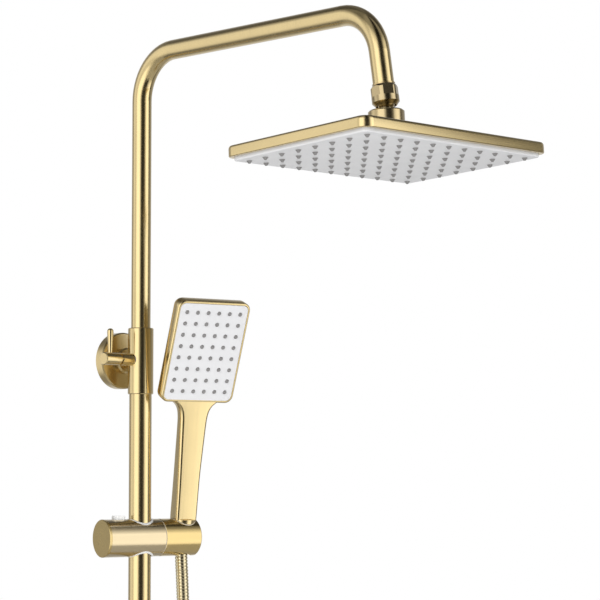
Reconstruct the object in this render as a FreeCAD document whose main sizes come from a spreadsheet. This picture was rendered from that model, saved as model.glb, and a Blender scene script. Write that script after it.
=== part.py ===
import FreeCAD, Part
import math
import os

import Sketcher
from FreeCAD import Placement, Rotation, Vector

# Rainfall shower column, in millimetres, +Z up, rain arm towards -Y.
# The origin is on the wall, at the middle of the back face of the upper wall flange.

DIMENSIONS = {
    # riser, sleeve and arm
    "wall_gap": 35.0,
    "riser_radius": 11.0,
    "arm_radius": 9.5,
    "tube_wall": 1.0,
    "riser_foot": -930.0,
    "riser_head": -6.0,
    "sleeve_radius": 12.5,
    "sleeve_foot": -33.6,
    "sleeve_head": 31.2,
    "arm_foot": -217.6,
    "arm_height": 301.1,
    "bend_radius": 46.0,
    "bend_reach": 276.6,
    "leg_lean": 9.4,
    "leg_length": 31.6,
    # wall flanges
    "flange_radius": 27.8,
    "flange_depth": 9.8,
    "flange_wall": 3.0,
    "anchor_radius": 22.0,
    "anchor_depth": 4.0,
    "anchor_hole": 2.6,
    "anchor_pitch": 30.0,
    "stud_radius": 4.95,
    "standoff_radius": 12.6,
    "standoff_neck": 7.6,
    # height lock
    "barrel_radius": 6.1,
    "barrel_end": 26.6,
    "lock_gap": 2.0,
    "lock_end": 47.0,
    "lock_ridge": 1.5,
    "lever_place": 38.7,
    "lever_tip": 29.4,
    # ball joint, measured from the ball's centre
    "ball_radius": 8.8,
    "seat_radius": 10.2,
    "nut_radius": 12.3,
    "nut_foot": -4.7,
    "nut_head": 13.9,
    "nut_flat": 11.4,
    "neck_radius": 6.0,
    "collar_radius": 16.25,
    "collar_head": -8.6,
    "collar_foot": -22.6,
    # rain head, measured from the ball's centre
    "head_tilt": 3.35,
    "head_width": 235.5,
    "head_depth": 170.5,
    "head_rim": 10.1,
    "head_corner": 10.0,
    "head_skin": 1.6,
    "head_face": -52.2,
    "head_proud": 3.3,
    "head_lip": 4.6,
    "nozzle_pitch": 20.24,
    "nozzle_radius": 2.6,
    # slide bracket
    "bracket_height": -173.2,
    "bracket_yaw": -11.3,
    "bracket_radius": 18.3,
    "bracket_left": -42.2,
    "bracket_seam": 20.1,
    "bracket_right": 60.3,
    "socket_place": 47.2,
    "glide_radius": 12.0,
    "liner_radius": 13.2,
    "button_place": -23.7,
    "button_width": 12.0,
    "button_rise": 3.4,
    # handset, measured along its handle from the bracket's axis
    "handle_lean": 8.7,
    "handset_turn": -3.5,
    "handle_foot": 18.7,
    "face_height": 184.8,
    "face_out": 20.6,
    "face_kink": 13.6,
    "face_width": 78.4,
    "face_length": 104.0,
    "face_depth": 14.0,
    "face_corner": 8.0,
    "spray_pitch": 11.55,
    "spray_radius": 2.0,
    # hose nut on the handset, measured from the bracket's axis
    "cone_narrow": 10.2,
    "cone_wide": 12.1,
    "cone_foot": -6.0,
    "cone_head": 18.5,
    # diverter and inlet
    "diverter_height": -960.0,
    "diverter_radius": 17.0,
    "thread_radius": 10.45,
    "inlet_tail": 13.0,
    "knob_radius": 15.0,
    "knob_near": 65.0,
    "knob_far": 86.0,
    # hose
    "hose_radius": 6.2,
}

COLUMNS = 11
ROWS = 8
SPRAY_COLUMNS = 6
SPRAY_ROWS = 8

# Where the hose stops inside its two end fittings.
HOSE_SEAT = 3.4
HOSE_END = -51.1

doc = FreeCAD.newDocument("ShowerColumn")
sheet = doc.addObject("Spreadsheet::Sheet", "Dimensions")
for row, (alias, value) in enumerate(DIMENSIONS.items(), start=1):
    sheet.set(f"A{row}", alias)
    sheet.set(f"B{row}", str(value))
    sheet.setAlias(f"B{row}", alias)
doc.recompute()


class Size:
    """A length or angle, with the formula that ties it to the sheet."""

    def __init__(self, value, formula=None):
        self.value = float(value)
        self.formula = formula

    def combine(self, other, value, sign):
        if self.formula is None and other.formula is None:
            return Size(value)
        left = self.formula or f"{self.value:.6g}"
        right = other.formula or f"{other.value:.6g}"
        return Size(value, f"({left} {sign} {right})")

    def __add__(self, other):
        other = size(other)
        return self.combine(other, self.value + other.value, "+")

    def __sub__(self, other):
        other = size(other)
        return self.combine(other, self.value - other.value, "-")

    def __mul__(self, other):
        other = size(other)
        return self.combine(other, self.value * other.value, "*")

    def __neg__(self):
        return Size(0) - self

    __radd__ = __add__
    __rmul__ = __mul__

    def __rsub__(self, other):
        return size(other) - self

    def __float__(self):
        return self.value


def size(thing):
    return thing if isinstance(thing, Size) else Size(thing)


def dim(alias):
    return Size(DIMENSIONS[alias], f"Dimensions.{alias}")


def mm(alias):
    return DIMENSIONS[alias]


def bind(thing, target, length):
    """Sets a property from a size, and keeps it tied to the sheet."""
    if length.formula is None:
        setattr(thing, target, length.value)
    else:
        thing.setExpression(target, length.formula)


finished = {}


def finish(label, thing):
    """Names a finished sub-part."""
    thing.Label = label
    finished[label] = thing
    return thing


def put(thing, place):
    thing.Placement = place.multiply(thing.Placement)
    return thing


def moved(x=0.0, y=0.0, z=0.0):
    return Placement(Vector(x, y, z), Rotation())


def turned_by(axis, degrees):
    return Placement(Vector(), Rotation(axis, degrees))


X_AXIS = Vector(1, 0, 0)
Y_AXIS = Vector(0, 1, 0)
Z_AXIS = Vector(0, 0, 1)


# ---------------------------------------------------------------- building blocks


def origin_plane(body, role):
    return next(f for f in body.Origin.OriginFeatures if f.Role == role)


def new_sketch(body, name, role):
    sketch = body.newObject("Sketcher::SketchObject", name)
    sketch.AttachmentSupport = (origin_plane(body, role), [""])
    sketch.MapMode = "FlatFace"
    return sketch


def fix_point(sketch, corner, place):
    """Ties the start of one line to its two coordinates."""
    for kind, length in zip(("DistanceX", "DistanceY"), place):
        if length.formula is None and length.value == 0.0:
            on_axis = -2 if kind == "DistanceX" else -1
            sketch.addConstraint(Sketcher.Constraint("PointOnObject", corner, 1, on_axis))
            continue
        index = sketch.addConstraint(
            Sketcher.Constraint(kind, -1, 1, corner, 1, length.value)
        )
        if length.formula is not None:
            sketch.setExpression(f"Constraints[{index}]", length.formula)


def draw_outline(sketch, points):
    """Draws a closed outline of straight lines, with every corner tied to the sheet."""
    points = [(size(a), size(b)) for a, b in points]
    for (a, b), (c, d) in zip(points, points[1:] + points[:1]):
        start = Vector(a.value, b.value, 0)
        end = Vector(c.value, d.value, 0)
        sketch.addGeometry(Part.LineSegment(start, end))
    for corner in range(len(points)):
        follower = (corner + 1) % len(points)
        sketch.addConstraint(Sketcher.Constraint("Coincident", corner, 2, follower, 1))
    for corner, place in enumerate(points):
        fix_point(sketch, corner, place)


def turned(name, outline):
    """A turned piece: its outline of (radius, height) points, revolved about its own Z."""
    body = doc.addObject("PartDesign::Body", name)
    sketch = new_sketch(body, f"{name}_outline", "XZ_Plane")
    draw_outline(sketch, outline)
    turn = body.newObject("PartDesign::Revolution", f"{name}_turn")
    turn.Profile = sketch
    turn.ReferenceAxis = (sketch, ["V_Axis"])
    turn.Angle = 360
    sketch.Visibility = False
    body.Tip = turn
    return body


def tube(name, inner, outer, low, high):
    return turned(name, [(inner, low), (outer, low), (outer, high), (inner, high)])


def padded(name, outline, low, high, role="XY_Plane"):
    """A flat piece: its outline, padded from low to high along the plane's normal."""
    body = doc.addObject("PartDesign::Body", name)
    sketch = new_sketch(body, f"{name}_outline", role)
    draw_outline(sketch, outline)
    pad = body.newObject("PartDesign::Pad", f"{name}_pad")
    pad.Profile = sketch
    bind(pad, "Length", high - low)
    sketch.AttachmentOffset = moved(z=float(low))
    sketch.Visibility = False
    body.Tip = pad
    return body


def edges_where(shape, chosen):
    return [f"Edge{n}" for n, edge in enumerate(shape.Edges, start=1) if chosen(edge)]


def is_upright(edge):
    way = edge.tangentAt(edge.FirstParameter)
    return abs(way.z) > 0.99


def plate(name, width, depth, low, high, corner):
    """A rounded rectangular plate, centred on its own Z."""
    width, depth, low, high = (size(v) for v in (width, depth, low, high))
    half_w = width * 0.5
    half_d = depth * 0.5
    corners = [(-half_w, -half_d), (half_w, -half_d), (half_w, half_d), (-half_w, half_d)]
    body = padded(name, corners, low, high)
    doc.recompute()
    pad = body.Tip
    rounding = body.newObject("PartDesign::Fillet", f"{name}_corners")
    rounding.Base = (pad, edges_where(pad.Shape, is_upright))
    bind(rounding, "Radius", size(corner))
    body.Tip = rounding
    return body


def rod(name, radius, low, high, place=None):
    """A plain cylinder along its own Z."""
    low, high = size(low), size(high)
    cylinder = doc.addObject("Part::Cylinder", name)
    bind(cylinder, "Radius", size(radius))
    bind(cylinder, "Height", high - low)
    cylinder.Placement = moved(z=low.value)
    return put(cylinder, place) if place else cylinder


def ball(name, radius, place=None):
    sphere = doc.addObject("Part::Sphere", name)
    bind(sphere, "Radius", size(radius))
    return put(sphere, place) if place else sphere


def cut(name, base, *tools):
    result = base
    for number, tool in enumerate(tools):
        step = doc.addObject("Part::Cut", f"{name}_cut_{number}")
        step.Base = result
        step.Tool = tool
        result = step
    return result


def common(name, first, second):
    result = doc.addObject("Part::Common", name)
    result.Base = first
    result.Tool = second
    return result


def fuse(name, *shapes):
    result = doc.addObject("Part::MultiFuse", name)
    result.Shapes = list(shapes)
    return result


def group(name, shapes):
    """Separate solids kept together in one node."""
    result = doc.addObject("Part::Compound", name)
    result.Links = list(shapes)
    return result


def softened(name, base, radius, chosen):
    """Rounds the chosen edges of a finished piece."""
    doc.recompute()
    result = doc.addObject("Part::Fillet", name)
    result.Base = base
    numbers = [n for n, edge in enumerate(base.Shape.Edges, start=1) if chosen(edge)]
    result.Edges = [(n, radius, radius) for n in numbers]
    return result


# ---------------------------------------------------------------- frames of the assemblies

RISER = moved(y=-mm("wall_gap"))
ALONG_MINUS_Y = turned_by(X_AXIS, 90)
ALONG_MINUS_X = turned_by(Y_AXIS, -90)
ALONG_X = turned_by(Y_AXIS, 90)


def wall_frame(height):
    """At the wall, own Z pointing out into the room."""
    return moved(z=height).multiply(ALONG_MINUS_Y)


def arm_frames():
    """The starts of the arm's pieces, own Z along the tube, and the ball's centre."""
    lean = math.radians(mm("leg_lean"))
    radius = mm("bend_radius")
    turn = math.pi / 2 - lean
    y = -mm("bend_reach") - radius * math.sin(turn)
    z = mm("arm_height") - radius * (1 - math.cos(turn))
    leg_start = Vector(0, y - mm("wall_gap"), z)
    down = Rotation(X_AXIS, 180 - mm("leg_lean"))
    leg = Placement(leg_start, down)
    nut_top = leg.multVec(Vector(0, 0, mm("leg_length")))
    way = down.multVec(Z_AXIS)
    centre = nut_top + way * mm("nut_head")
    return leg, centre


LEG, BALL_CENTRE = arm_frames()
NUT = Placement(BALL_CENTRE, Rotation(X_AXIS, -mm("leg_lean")))
HEAD = Placement(BALL_CENTRE, Rotation(X_AXIS, -mm("head_tilt")))
BRACKET = Placement(
    Vector(0, -mm("wall_gap"), mm("bracket_height")), Rotation(Z_AXIS, mm("bracket_yaw"))
)
HOLDER = BRACKET.multiply(moved(x=mm("socket_place"))).multiply(
    turned_by(X_AXIS, mm("handle_lean"))
)
HANDSET = HOLDER.multiply(turned_by(Z_AXIS, mm("handset_turn")))
DIVERTER = moved(y=-mm("wall_gap"), z=mm("diverter_height"))


# ---------------------------------------------------------------- wall fixings


def wall_flange(label, height, hole):
    radius = dim("flange_radius")
    depth = dim("flange_depth")
    skin = dim("flange_wall")
    edge = 1.2
    outline = [
        (radius - skin, 0),
        (radius, 0),
        (radius, depth - edge),
        (radius - edge, depth),
        (hole, depth),
        (hole, depth - skin),
        (radius - skin, depth - skin),
    ]
    finish(label, put(turned(label, outline), wall_frame(height)))


def anchor_plate():
    outline = [
        (0, 0),
        (dim("anchor_radius"), 0),
        (dim("anchor_radius"), dim("anchor_depth")),
        (dim("stud_radius"), dim("anchor_depth")),
        (dim("stud_radius"), 15),
        (0, 15),
    ]
    plate_body = turned("anchor_blank", outline)
    half = mm("anchor_pitch") / 2
    holes = [
        rod(f"anchor_hole_{n}", dim("anchor_hole"), -1, 6, moved(x=side * half))
        for n, side in enumerate((-1, 1))
    ]
    whole = cut("anchor", plate_body, *holes)
    finish("upper_anchor_plate", put(whole, wall_frame(0)))


def standoff():
    neck = dim("standoff_neck")
    boss = dim("standoff_radius")
    depth = dim("flange_depth")
    bore = dim("stud_radius") + 0.05
    outline = [
        (bore, dim("anchor_depth") + 0.1),
        (neck - 0.1, dim("anchor_depth") + 0.1),
        (neck - 0.1, depth + 0.1),
        (boss, depth + 0.1),
        (boss, depth + 4.0),
        (boss - 1.6, depth + 5.6),
        (neck, depth + 5.6),
        (neck, dim("wall_gap") - 9.0),
        (0, dim("wall_gap") - 9.0),
        (0, 16),
        (bore, 16),
    ]
    blank = put(turned("standoff_blank", outline), wall_frame(0))
    saddle = rod("standoff_saddle", dim("sleeve_radius") + 0.02, -20, 20, RISER)
    screw_way = rod("standoff_screw_hole", 2.05, -14, -4)
    put(screw_way, moved(y=-mm("flange_depth") - 2.4))
    finish("upper_standoff", cut("standoff", blank, saddle, screw_way))
    screw = turned("grub_screw", [(0, -5.2), (2, -5.2), (2, -11.6), (1, -11.6), (1, -10), (0, -10)])
    finish("standoff_grub_screw", put(screw, moved(y=-mm("flange_depth") - 2.4)))


# ---------------------------------------------------------------- riser, sleeve and height lock


def sleeve():
    radius = dim("sleeve_radius")
    foot = dim("sleeve_foot")
    head = dim("sleeve_head")
    riser_fit = dim("riser_radius") + 0.05
    bush_fit = dim("riser_radius") + 0.45
    edge = 0.7
    outline = [
        (riser_fit, foot),
        (radius - edge, foot),
        (radius, foot + edge),
        (radius, head - edge),
        (radius - edge, head),
        (dim("arm_radius") + 0.3, head),
        (dim("arm_radius") + 0.3, head - 2.0),
        (bush_fit, head - 2.0),
        (bush_fit, -5.6),
        (riser_fit, -5.6),
    ]
    blank = put(turned("sleeve_blank", outline), RISER)
    side_hole = rod("sleeve_side_hole", dim("barrel_radius"), 5, 20)
    put(side_hole, RISER.multiply(ALONG_MINUS_X))
    finish("riser_sleeve", cut("sleeve", blank, side_hole))

    bush = tube(
        "bush_blank",
        dim("arm_radius") + 0.06,
        dim("riser_radius") + 0.4,
        -5.4,
        head - 2.1,
    )
    window = rod("bush_window", 3.2, 5, 15, ALONG_MINUS_X)
    finish("sleeve_bush", put(cut("bush", bush, window), RISER))


def riser_tube():
    radius = dim("riser_radius")
    pipe = tube("riser", radius - dim("tube_wall"), radius, dim("riser_foot"), dim("riser_head"))
    finish("lower_riser_tube", put(pipe, RISER))


def lock_side_view(name, near, far, ridge):
    """The side view of a barrel whose near end has one V across it, cut or raised."""
    half_v = 2.6
    low, high = -8.0, 8.0
    outline = [
        (-near, low),
        (-near, -half_v),
        (ridge - near, 0),
        (-near, half_v),
        (-near, high),
        (-far, high),
        (-far, low),
    ]
    body = padded(name, outline, size(-8), size(8), role="XZ_Plane")
    return body


def height_lock():
    radius = dim("barrel_radius")
    end = dim("barrel_end")
    near = end + dim("lock_gap")
    far = dim("lock_end")
    ridge = dim("lock_ridge")
    along = RISER.multiply(ALONG_MINUS_X)

    barrel = put(tube("barrel_blank", 3.1, radius, 11.9, end), along)
    side_view = lock_side_view("barrel_side", end, size(11.0), ridge)
    finish("lock_barrel", common("barrel_shaped", barrel, put(side_view, RISER)))

    knob_outline = [
        (0, near - 3.0),
        (radius, near - 3.0),
        (radius, far - 0.8),
        (radius - 0.8, far),
        (0, far),
    ]
    blank = put(turned("knob_blank", knob_outline), along)
    shaped = common("knob_shaped", blank, put(lock_side_view("knob_side", near, size(60), ridge), RISER))
    spindle_hole = rod("knob_spindle_hole", 2.03, near - 4.0, far - 5.0)
    put(spindle_hole, along)
    lever_hole = rod("knob_lever_hole", 1.9, 2.6, 8)
    put(lever_hole, RISER.multiply(moved(x=-mm("lever_place"))))
    finish("lock_knob", cut("knob", shaped, spindle_hole, lever_hole))

    spindle = rod("spindle", 2.0, 21.5, far - 5.1)
    put(spindle, along)
    lever_clearance = rod("spindle_relief", 1.95, 1.0, 8)
    put(lever_clearance, RISER.multiply(moved(x=-mm("lever_place"))))
    finish("lock_spindle", cut("spindle_cut", spindle, lever_clearance))

    tip = dim("lever_tip")
    lever_outline = [
        (0, 2.7),
        (1.88, 2.7),
        (1.88, radius + 0.2),
        (2.05, radius + 0.2),
        (3.15, tip - 3.4),
        (3.0, tip - 1.8),
        (2.2, tip - 0.6),
        (1.0, tip),
        (0, tip),
    ]
    lever = turned("lever", lever_outline)
    finish("lock_lever", put(lever, RISER.multiply(moved(x=-mm("lever_place")))))

    plunger = rod("plunger", 3.05, dim("arm_radius") + 0.15, 20.2)
    finish("clamp_plunger", put(plunger, along))


# ---------------------------------------------------------------- telescopic rain arm


def telescope_guide():
    foot = dim("arm_foot")
    outer = dim("riser_radius") - dim("tube_wall") - 0.06
    spigot = dim("arm_radius") - dim("tube_wall") - 0.06
    groove = 8.55
    outline = [
        (6.8, foot - 22),
        (outer, foot - 22),
        (outer, foot - 15.6),
        (groove, foot - 15.6),
        (groove, foot - 14.0),
        (outer, foot - 14.0),
        (outer, foot - 7.6),
        (groove, foot - 7.6),
        (groove, foot - 6.0),
        (outer, foot - 6.0),
        (outer, foot - 0.2),
        (spigot, foot - 0.2),
        (spigot, foot + 16),
        (6.8, foot + 16),
    ]
    finish("guide_bush", put(turned("guide", outline), RISER))
    rings = []
    for number, drop in enumerate((14.8, 6.8)):
        ring = doc.addObject("Part::Torus", f"guide_ring_{number}")
        ring.Radius1 = 9.27
        ring.Radius2 = 0.68
        rings.append(put(ring, moved(z=mm("arm_foot") - drop)))
    finish("guide_o_rings", put(group("guide_rings", rings), RISER))


def arm_run(name, radius):
    """One skin of the bent arm: straight, bend, straight, bend, straight."""
    bend = dim("bend_radius")
    height = dim("arm_height")
    reach = dim("bend_reach")
    foot = dim("arm_foot")
    parts = [rod(f"{name}_upright", radius, foot, height - bend, RISER)]

    first = doc.addObject("Part::Torus", f"{name}_first_bend")
    last = doc.addObject("Part::Torus", f"{name}_last_bend")
    for bent in (first, last):
        bind(bent, "Radius1", bend)
        bind(bent, "Radius2", radius)
    first.Angle3 = 90
    bind(last, "Angle3", 90 - dim("leg_lean"))
    on_side = Placement(Vector(), Rotation(Vector(0, -1, 0), Vector(0, 0, 1), Vector(-1, 0, 0), "XYZ"))
    at_first = moved(y=-mm("wall_gap") - mm("bend_radius"), z=mm("arm_height") - mm("bend_radius"))
    put(first, at_first.multiply(on_side).multiply(turned_by(Z_AXIS, 90)))
    at_last = moved(y=-mm("wall_gap") - mm("bend_reach"), z=mm("arm_height") - mm("bend_radius"))
    put(last, at_last.multiply(on_side).multiply(turned_by(Z_AXIS, mm("leg_lean"))))
    parts += [first, last]

    level = rod(f"{name}_level", radius, bend, reach)
    put(level, moved(y=-mm("wall_gap"), z=mm("arm_height")).multiply(ALONG_MINUS_Y))
    leg = rod(f"{name}_leg", radius, 0, dim("leg_length") - 1.7, LEG)
    return fuse(f"{name}_run", *parts, level, leg)


def rain_arm():
    outer = dim("arm_radius")
    skin = arm_run("arm_outer", outer)
    hollow = arm_run("arm_inner", outer - dim("tube_wall"))
    finish("gooseneck_tube", cut("gooseneck", skin, hollow))

    top = dim("nut_head")
    nipple = [
        (6.4, 8.8),
        (9.2, 8.8),
        (9.2, top + 0.1),
        (10.3, top + 0.1),
        (10.3, top + 1.6),
        (outer - dim("tube_wall") - 0.05, top + 1.6),
        (outer - dim("tube_wall") - 0.05, top + 12),
        (6.4, top + 12),
    ]
    finish("arm_end_nipple", put(turned("nipple", nipple), NUT))


def ball_joint():
    radius = dim("nut_radius")
    foot = dim("nut_foot")
    top = dim("nut_head")
    outline = [
        (5, foot),
        (radius - 2.7, foot),
        (radius, foot + 3.1),
        (radius, top - 2.4),
        (radius - 1.8, top),
        (9.25, top),
        (9.25, 4),
        (5, 4),
    ]
    blank = turned("nut_blank", outline)
    cavity = ball("nut_cavity", dim("seat_radius") + 0.1)
    hollow = cut("nut_hollow", blank, cavity)
    flats = []
    for number in range(6):
        flat = doc.addObject("Part::Box", f"nut_flat_{number}")
        flat.Length = 20
        flat.Width = 20
        flat.Height = 12
        flat.Placement = turned_by(Z_AXIS, 60 * number).multiply(moved(x=mm("nut_flat"), y=-10, z=3.6))
        flats.append(flat)
    nut = cut("nut", hollow, *flats)
    finish("ball_nut", put(nut, NUT))

    slab = tube("seat_slab", 3, 12, -3.0, 5.0)
    seat = common("seat_slice", ball("seat_outer", dim("seat_radius")), slab)
    seat = cut("seat", seat, ball("seat_inner", dim("ball_radius") + 0.05))
    finish("ball_seat", put(seat, HEAD))

    collar = dim("collar_head")
    stem_outline = [
        (0, 0),
        (dim("neck_radius"), 0),
        (dim("neck_radius"), collar - 2.0),
        (10.2, collar - 2.0),
        (10.2, collar - 5.0),
        (6.4, collar - 5.0),
        (6.4, collar - 10.5),
        (0, collar - 10.5),
    ]
    stem = fuse("stem_blank", ball("ball_solid", dim("ball_radius")), turned("stem_shank", stem_outline))
    water_way = rod("stem_water_way", 3.6, -30, 20)
    finish("ball_stem", put(cut("stem", stem, water_way), HEAD))


# ---------------------------------------------------------------- rain head


def grid_places(columns, rows, pitch):
    for column in range(columns):
        for row in range(rows):
            x = (column - (columns - 1) / 2) * pitch
            y = (row - (rows - 1) / 2) * pitch
            yield x, y


def spotted(shape, places):
    """Copies of one small shape at many places, as one compound."""
    copies = []
    for x, y in places:
        copy = shape.copy()
        copy.translate(Vector(x, y, 0))
        copies.append(copy)
    return Part.makeCompound(copies)


def hole_field(name, radius, low, high, places):
    """Straight holes at many places, to cut with."""
    field = doc.addObject("Part::Feature", name)
    drill = Part.makeCylinder(radius, high - low, Vector(0, 0, low))
    field.Shape = spotted(drill, places)
    return field


def nozzle_mat(name, sheet_plate, root, tip, base_z, face_z, tip_z, places):
    """A silicone sheet with a nozzle at each place: a straight root, then a cone."""
    straight = Part.makeCylinder(root, base_z - face_z, Vector(0, 0, face_z))
    cone = Part.makeCone(tip, root, face_z - tip_z, Vector(0, 0, tip_z))
    nozzle = straight.fuse(cone)
    mat = doc.addObject("Part::Feature", name)
    doc.recompute()
    mat.Shape = sheet_plate.Shape.fuse(spotted(nozzle, places).Solids).removeSplitter()
    return mat


def rain_head():
    width = dim("head_width")
    depth = dim("head_depth")
    face = dim("head_face")
    skin = dim("head_skin")
    corner = dim("head_corner")
    lip = face + dim("head_proud")
    edge = dim("head_lip")
    top = lip + dim("head_rim")
    foot = dim("collar_foot")
    head = dim("collar_head")

    collar_outline = [
        (dim("neck_radius") + 0.4, head),
        (dim("collar_radius") - 1.4, head),
        (dim("collar_radius"), head - 1.4),
        (dim("collar_radius"), foot + 0.6),
        (dim("collar_radius") - 0.6, foot),
        (10.5, foot),
        (10.5, head - 1.8),
        (dim("neck_radius") + 0.4, head - 1.8),
    ]
    finish("head_collar", put(turned("collar", collar_outline), HEAD))
    washer = tube("washer", 6.6, 10.2, head - 7.0, head - 5.1)
    finish("head_filter_washer", put(washer, HEAD))

    hub_outline = [
        (0, top - 1.0),
        (34, top - 1.0),
        (34, top),
        (24, top + 4.5),
        (17, top + 10.5),
        (15, foot - 0.1),
        (10.3, foot - 0.1),
        (10.3, head - 7.1),
        (0, head - 7.1),
    ]
    hub = turned("shell_hub", hub_outline)
    slab = plate("shell_slab", width, depth, lip, top, corner)
    rounded = softened(
        "shell_edges", slab, 2.4, lambda edge: edge.BoundBox.ZMin > float(top) - 0.01
    )
    pocket = plate(
        "shell_pocket", width - 2 * skin, depth - 2 * skin, lip + 1.6, top - 2.0, corner - skin
    )
    open_w = width - 2 * edge
    open_d = depth - 2 * edge
    opening = plate("shell_opening", open_w, open_d, lip - 1, lip + 2, corner - edge)
    inlet = rod("shell_inlet", 6.7, -60, 0)
    shell = cut("shell", fuse("shell_solid", hub, rounded), pocket, opening, inlet)
    finish("head_top_shell", put(shell, HEAD))

    places = list(grid_places(COLUMNS, ROWS, mm("nozzle_pitch")))
    plate_top = face + 4.0
    blank = plate("face_blank", open_w - 0.6, open_d - 0.6, face, plate_top, corner - edge - 0.3)
    blank = softened("face_edge", blank, 1.4, lambda e: e.BoundBox.ZMax < float(face) + 0.01)
    radius = mm("nozzle_radius")
    low, high = mm("head_face") - 5, mm("head_face") + 9
    holes = hole_field("face_holes", radius + 0.15, low, high, places)
    screw_places = [(x, y) for x in (-108.5, 108.5) for y in (-50, 50)]
    screw_places += [(x, y) for x in (-60, 60) for y in (-77.5, 77.5)]
    screw_pits = hole_field("face_screw_pits", 1.5, mm("head_face") + 1.3, high, screw_places)
    finish("head_face_plate", put(cut("face", blank, holes, screw_pits), HEAD))

    mat_sheet = plate("mat_sheet", 212, 150, plate_top + 0.05, plate_top + 1.3, 6)
    mat = nozzle_mat(
        "mat",
        mat_sheet,
        radius,
        1.0,
        float(plate_top) + 0.3,
        mm("head_face"),
        mm("head_face") - 2.4,
        places,
    )
    finish("head_nozzle_mat", put(mat, HEAD))

    inside_w = width - 2 * skin - 2.3
    inside_d = depth - 2 * skin - 2.3
    chamber = plate("chamber", inside_w, inside_d, plate_top + 1.4, plate_top + 3.4, 7)
    chamber_inlet = rod("chamber_inlet", 6.0, -60, 0)
    screw_ways = hole_field("chamber_screw_holes", 1.6, low, high, screw_places)
    finish("head_chamber_plate", put(cut("chamber_cut", chamber, chamber_inlet, screw_ways), HEAD))

    seat_height = float(plate_top) + 3.4
    screw_outline = [
        (0, face + 1.5),
        (1.45, face + 1.5),
        (1.45, seat_height),
        (2.7, seat_height),
        (2.7, seat_height + 1.3),
        (0, seat_height + 1.3),
    ]
    one = turned("head_screw", screw_outline)
    doc.recompute()
    screws = doc.addObject("Part::Feature", "head_screw_set")
    screws.Shape = spotted(one.Shape, screw_places)
    finish("head_screws", put(screws, HEAD))


# ---------------------------------------------------------------- slide bracket


def slide_bracket():
    radius = dim("bracket_radius")
    left = dim("bracket_left")
    seam = dim("bracket_seam")
    liner = dim("liner_radius")
    glide = dim("glide_radius")
    cap = 2.5
    along = BRACKET.multiply(ALONG_X)

    finish("glide_bush", put(tube("glide", dim("riser_radius") + 0.08, glide, -11, 11), BRACKET))

    liner_outline = [
        (11.4, -20),
        (liner, -20),
        (liner, 20),
        (11.4, 20),
        (11.4, 11.2),
        (glide + 0.06, 11.2),
        (glide + 0.06, -11.2),
        (11.4, -11.2),
    ]
    outside = rod("liner_outside", radius + 0.25, -30, 30, ALONG_X)
    liner_body = common("liner_trimmed", turned("liner_tube", liner_outline), outside)
    liner_window = rod("liner_window", 4.4, 8, 16, ALONG_MINUS_X)
    finish("slide_liner", put(cut("liner_cut", liner_body, liner_window), BRACKET))

    housing_outline = [
        (0, left + 26.0),
        (14.6, left + 26.0),
        (14.6, left + cap),
        (radius, left + cap),
        (radius, seam - 0.4),
        (radius - 0.4, seam),
        (4.1, seam),
        (4.1, 14.2),
        (0, 14.2),
    ]
    housing = turned("housing_blank", housing_outline)
    put(housing, ALONG_X)
    riser_way = rod("housing_riser_way", liner + 0.05, -25, 25)
    shoe_way = rod("housing_shoe_way", 4.4, 8, 20, ALONG_MINUS_X)
    button_way = block_at("housing_button_way", mm("button_width") + 0.4, 8.4, 8, 20, mm("button_place"))
    finish("slide_housing", put(cut("housing", housing, riser_way, shoe_way, button_way), BRACKET))

    cap_outline = [
        (0, left),
        (radius - 0.5, left),
        (radius, left + 0.5),
        (radius, left + cap - 0.05),
        (14.5, left + cap - 0.05),
        (14.5, left + cap + 3.0),
        (11.5, left + cap + 3.0),
        (11.5, left + cap),
        (0, left + cap),
    ]
    finish("slide_end_cap", put(turned("end_cap", cap_outline), along))

    shoe_outline = [
        (0, glide - 0.5),
        (4.2, glide - 0.5),
        (4.2, 18.0),
        (6.1, 18.0),
        (6.1, 21.0),
        (0, 21.0),
    ]
    shoe = put(turned("shoe_blank", shoe_outline), ALONG_MINUS_X)
    clearance = rod("shoe_clearance", glide + 0.1, -10, 10)
    finish("clamp_shoe", put(cut("shoe", shoe, clearance), BRACKET))

    spring_path = Part.makeHelix(2.6, 15.4, 4.8)
    spring_profile = Part.Wire(Part.Circle(Vector(4.8, 0, 0), Y_AXIS, 0.6).toShape())
    spring = doc.addObject("Part::Feature", "clamp_coil")
    spring.Shape = Part.Wire(spring_path).makePipeShell([spring_profile], True, True)
    put(spring, BRACKET.multiply(ALONG_MINUS_X).multiply(moved(z=21.8)))
    finish("clamp_spring", spring)

    button = plate("button", dim("button_width"), 8.0, 9.5, radius + dim("button_rise"), 2.0)
    put(button, moved(x=mm("button_place")))
    finish("release_button", put(button, BRACKET))

    washer = tube("pivot_ring", 4.2, radius - 0.35, seam + 0.02, seam + 0.68)
    finish("pivot_washer", put(washer, along))
    axle_outline = [
        (0, 14.4),
        (4.0, 14.4),
        (4.0, seam + 8.6),
        (6.4, seam + 8.6),
        (6.4, seam + 11.4),
        (0, seam + 11.4),
    ]
    finish("pivot_axle", put(turned("axle", axle_outline), along))


def block_at(name, width, depth, low, high, x):
    """A plain block standing on its own Z, centred at x."""
    block = doc.addObject("Part::Box", name)
    block.Length = width
    block.Width = depth
    block.Height = high - low
    block.Placement = moved(x=x - width / 2, y=-depth / 2, z=low)
    return block


# ---------------------------------------------------------------- handset and its holder


def cone_radius(height):
    """The hose nut's outside radius at a height along the handle."""
    rise = (mm("cone_wide") - mm("cone_narrow")) / (mm("cone_head") - mm("cone_foot"))
    return mm("cone_narrow") + (height - mm("cone_foot")) * rise


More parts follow.
